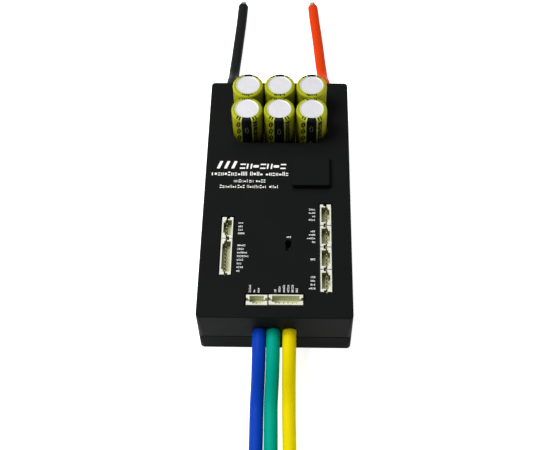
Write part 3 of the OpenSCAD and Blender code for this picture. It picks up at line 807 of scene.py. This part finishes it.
def ink(name, outlines):
    """One piece of white print from outlines in millimetres."""
    verts, faces = [], []
    for outline in outlines:
        prism(verts, faces, outline)
    add_piece(name, mesh_from(name, verts, faces), LEGEND_INK, smooth=False)


def tile(x, y, w, h, lean=0.0, cut=0.2):
    """A box with clipped corners, leaning to the right; x, y is its lower left corner."""
    c = min(w, h) * cut
    points = [(c, 0), (w - c, 0), (w, c), (w, h - c), (w - c, h), (c, h), (0, h - c), (0, c)]
    return [(x + px + lean * py, y + py) for px, py in points]


# A random number below these gives a pair of bars, a pair of layers or one bar, and else a block.
BAR_PAIR = 0.35
LAYER_PAIR = 0.65
ONE_BAR = 0.8


def glyph(x, y, w, tall, bold, rng):
    """Print that is no letter: bars, layers or a block."""
    kind = rng.random()
    stroke = min(w * bold, tall * 0.4)
    layer = tall * 0.28
    if kind < BAR_PAIR:
        return [tile(x, y, stroke, tall), tile(x + w - stroke, y, stroke, tall)]
    if kind < LAYER_PAIR:
        return [tile(x, y, w, layer), tile(x, y + tall * 0.70, w, layer)]
    if kind < ONE_BAR:
        return [tile(x + w * 0.2, y, stroke * 1.4, tall)]
    return [tile(x, y + tall * 0.15, w, tall * 0.55)]


def row_of_marks(words, x0, x1, y, high, bold, rng):
    """Blocks in word-like groups that fill x0 to x1, standing for a line of print."""
    space, filled = 0.7, 0.72
    pitch = (x1 - x0) / (sum(words) + space * (len(words) - 1))
    x = x0
    out = []
    for word in words:
        for _ in range(word):
            tall = high * rng.choice((1.0, 0.76, 0.76, 1.0))
            out += glyph(x, y, pitch * filled, tall, bold, rng)
            x += pitch
        x += space * pitch
    return out


# The big print, in millimetres from the middle of the case.
BARS_PLACE = (-30.5, 13.4)
BAR_SIZE = (1.5, 4.6)
BAR_PITCH = 3.6
TITLE_PLACE = (-19.0, 13.3)
TITLE_PITCH = 3.38
TITLE_WIDTH = 2.75
TITLE_LEAN = 0.12
# A line of print: the marks in each word, its left and right ends, its foot, height and boldness.
PRINT_LINES = {
    "legend_line_1": ([11, 4, 7], -33.0, 5.8, 9.1, 2.4, 0.33),
    "legend_line_2": ([8, 4], -21.5, -5.6, 5.0, 1.8, 0.22),
    "legend_line_3": ([10, 8, 4], -28.4, 1.1, 1.6, 1.8, 0.22),
}


def legends():
    """Generic marks where a maker's print sits: three bars, a title of blocks, and three lines."""
    rng = random.Random(5)
    left, foot = BARS_PLACE
    bars = [tile(left + BAR_PITCH * k, foot, *BAR_SIZE, lean=0.35, cut=0.15) for k in range(3)]
    ink("legend_bars", bars)
    title = []
    left, foot = TITLE_PLACE
    for k in range(7):
        x, w, thin = left + TITLE_PITCH * k, TITLE_WIDTH, TITLE_WIDTH * 0.27
        level = [tile(x, foot, w, 0.8, TITLE_LEAN), tile(x + 0.25, foot + 2.35, w, 0.8, TITLE_LEAN)]
        upright = [tile(x + shift, foot, thin, 3.15, TITLE_LEAN) for shift in (0, w * 0.7)]
        title += (level, upright, [tile(x, foot + 0.8, w, 1.5, TITLE_LEAN)])[k % 3]
    ink("legend_title", title)
    for name, line in PRINT_LINES.items():
        ink(name, row_of_marks(*line, rng))


legends()

# The small labels, in millimetres. The marks in each, from the one furthest to the back or the left.
LABELS = {
    1: [4, 4, 2, 4],
    2: [3, 4, 5, 2],
    3: [3],
    4: [3, 3, 3, 4],
    5: [3, 3, 3, 4],
    6: [5, 4, 6, 7, 4, 3, 4, 2],
    7: [5, 2, 3],
    8: [2, 4, 5, 5, 5, 3],
}
# How far a header's labels are shifted against its pins: to the front, or to the right.
LABEL_DROP = {1: 0.1, 2: 0.4, 3: 0.8, 4: 1.2, 5: 0.3, 6: 0.9, 7: -1.3, 8: 0}
LABEL_HIGH = 0.95
LABEL_STEP = 0.80
LABEL_BOLD = 0.36
PIN_PITCH = 2.0
FRONT_HEADERS = (7, 8)
# From a header to its labels, by where it stands on the cover.
RIGHT_GAP = 2.2
LEFT_GAP = 2.6
FRONT_GAP = 1.2
KEYHOLE_LABEL = (5.0, -27.2)


def label(x, y, marks, upright, rng):
    """A row of small glyphs that starts at x, y and runs right, or up if it is upright."""
    out = []
    for k in range(marks):
        high = LABEL_HIGH * rng.choice((1, 1, 0.8))
        for outline in glyph(k * LABEL_STEP, 0, LABEL_STEP * 0.7, high, LABEL_BOLD, rng):
            if upright:
                outline = [(LABEL_HIGH - v, u) for u, v in outline]
            out.append([(x + u, y + v) for u, v in outline])
    return out


def header_labels():
    """A label beside each pin of each header, on the side towards the middle of the cover."""
    rng = random.Random(9)
    rows = []
    for number, counts in LABELS.items():
        low, high = (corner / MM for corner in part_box(f"pin_header_{number}"))
        middle = (low + high) / 2
        for k, marks in enumerate(counts):
            along = (k - (len(counts) - 1) / 2) * PIN_PITCH + LABEL_DROP[number]
            if number in FRONT_HEADERS:
                x, y = middle.x + along - LABEL_HIGH / 2, high.y + FRONT_GAP
            elif middle.x > 0:
                x, y = low.x - RIGHT_GAP - marks * LABEL_STEP, middle.y - along - LABEL_HIGH / 2
            else:
                x, y = high.x + LEFT_GAP, middle.y - along - LABEL_HIGH / 2
            rows += label(x, y, marks, number in FRONT_HEADERS, rng)
    rows += label(*KEYHOLE_LABEL, 3, False, rng)
    ink("legend_labels", rows)


header_labels()

# ---------- looks of the CAD nodes ----------

NODE_LOOKS = {
    "base_plate": BASE_BLACK,
    "top_cover": COVER_BLACK,
    "thermal_pad": PAD_GREY,
    "power_board": METAL_CORE,
    "power_transistors": CHIP,
    "current_shunts": SHUNT,
    "ceramic_capacitors": CERAMIC,
    "phase_terminals": COPPER,
    "bus_posts": COPPER,
    "capacitor_board": BOARD_GREEN,
    "battery_bar_negative": COPPER,
    "battery_bar_positive": COPPER,
    "capacitor_can": CAN,
    "capacitor_sleeve": SLEEVE,
    "capacitor_seals": SEAL,
    "capacitor_windings": WINDING,
    "capacitor_wires": TINNED,
    "control_board": BOARD_GREEN,
    "board_standoffs": BRASS,
    "board_screws": ZINC,
    "cover_screws": BLACK_OXIDE,
    "stack_header": CHIP,
    "stack_header_pins": PIN,
    "microcontroller": CHIP,
    "gate_drivers": CHIP,
    "buck_inductor": FERRITE,
    "voltage_regulator": CHIP,
    "crystal": CRYSTAL,
    "status_lights": LENS,
    "pin_header": IVORY,
    "header_pins": PIN,
    "inner_conductors": TINNED,
}
# Width of the softened edges, in millimetres.
BEVELS = {"base_plate": 0.15, "top_cover": 0.12, "pin_header": 0.07, "header_pins": 0.09}


def soften(obj, width):
    """Breaks a CAD node's edges by that many millimetres, with modifiers only."""
    weld = obj.modifiers.new("weld", "WELD")
    weld.merge_threshold = 1e-6
    bevel = obj.modifiers.new("bevel", "BEVEL")
    bevel.width = width * MM
    bevel.segments = 2
    bevel.limit_method = "ANGLE"
    bevel.angle_limit = math.radians(40)


def dress(node_name, mat):
    """Gives a CAD node one material."""
    mesh = frame["nodes"][node_name].data
    mesh.materials.clear()
    mesh.materials.append(mat)


for node_name, node_obj in frame["nodes"].items():
    if node_name.endswith(("_lead", "_end")):
        continue
    stem = node_name.rstrip("_0123456789")
    dress(node_name, NODE_LOOKS[stem])
    if stem in BEVELS:
        soften(node_obj, BEVELS[stem])
# The front headers get the painted lighter copy of the ivory, standing in for the light on them.
for number in FRONT_HEADERS:
    dress(f"pin_header_{number}", PAINTED_LIT_IVORY)
for lead_name, (_, lead_slot, _, _) in LEADS.items():
    dress(lead_name + "_lead", bpy.data.materials[lead_slot])
    dress(lead_name + "_end", TINNED)

# ---------- floor and light ----------


def floor():
    """A white floor just under the case, that glows a little so that it renders as plain white."""
    size, n, z = 2.4, 24, -0.1 * MM
    row = n + 1
    verts = [(size * (i / n - 0.5), size * (j / n - 0.5), z) for j in range(row) for i in range(row)]
    corners = [j * row + i for j in range(n) for i in range(n)]
    faces = [(c, c + 1, c + row + 1, c + row) for c in corners]
    obj = bpy.data.objects.new("floor", mesh_from("floor", verts, faces))
    bpy.context.scene.collection.objects.link(obj)
    white = surface("floor_white", (0.90, 0.90, 0.90), (0.7, 0.85), 0.01, specular=0.2, grain=200)
    shader = white.node_tree.nodes["Principled BSDF"]
    shader.inputs["Emission Color"].default_value = (1, 1, 1, 1)
    shader.inputs["Emission Strength"].default_value = 0.85
    obj.data.materials.append(white)


floor()


def area_light(name, place, aim, size, power):
    """A white rectangular light at a place, turned towards another."""
    data = bpy.data.lights.new(name, "AREA")
    data.shape = "RECTANGLE"
    data.size, data.size_y = size
    data.energy = power
    obj = bpy.data.objects.new(name, data)
    bpy.context.scene.collection.objects.link(obj)
    turn = (Vector(aim) - Vector(place)).to_track_quat("-Z", "Y")
    obj.matrix_world = Matrix.Translation(Vector(place)) @ turn.to_matrix().to_4x4()


def studio():
    """A white room with a key light on the left, one behind the case and a weak one in front."""
    world = bpy.data.worlds.new("studio")
    bpy.context.scene.world = world
    world.use_nodes = True
    world.node_tree.nodes["Background"].inputs["Color"].default_value = (1.0, 1.0, 1.0, 1)
    world.node_tree.nodes["Background"].inputs["Strength"].default_value = 0.11
    area_light("key", (-0.42, 0.05, 0.80), (0, 0, 0.02), (0.4, 0.4), 8.0)
    area_light("top", (0.0, 0.45, 0.85), (0, 0, 0.03), (0.8, 0.6), 2.4)
    area_light("front", (-0.10, -0.80, 0.45), (0, -0.03, 0.01), (0.6, 0.35), 0.3)


studio()
bpy.context.scene.view_settings.view_transform = "Standard"
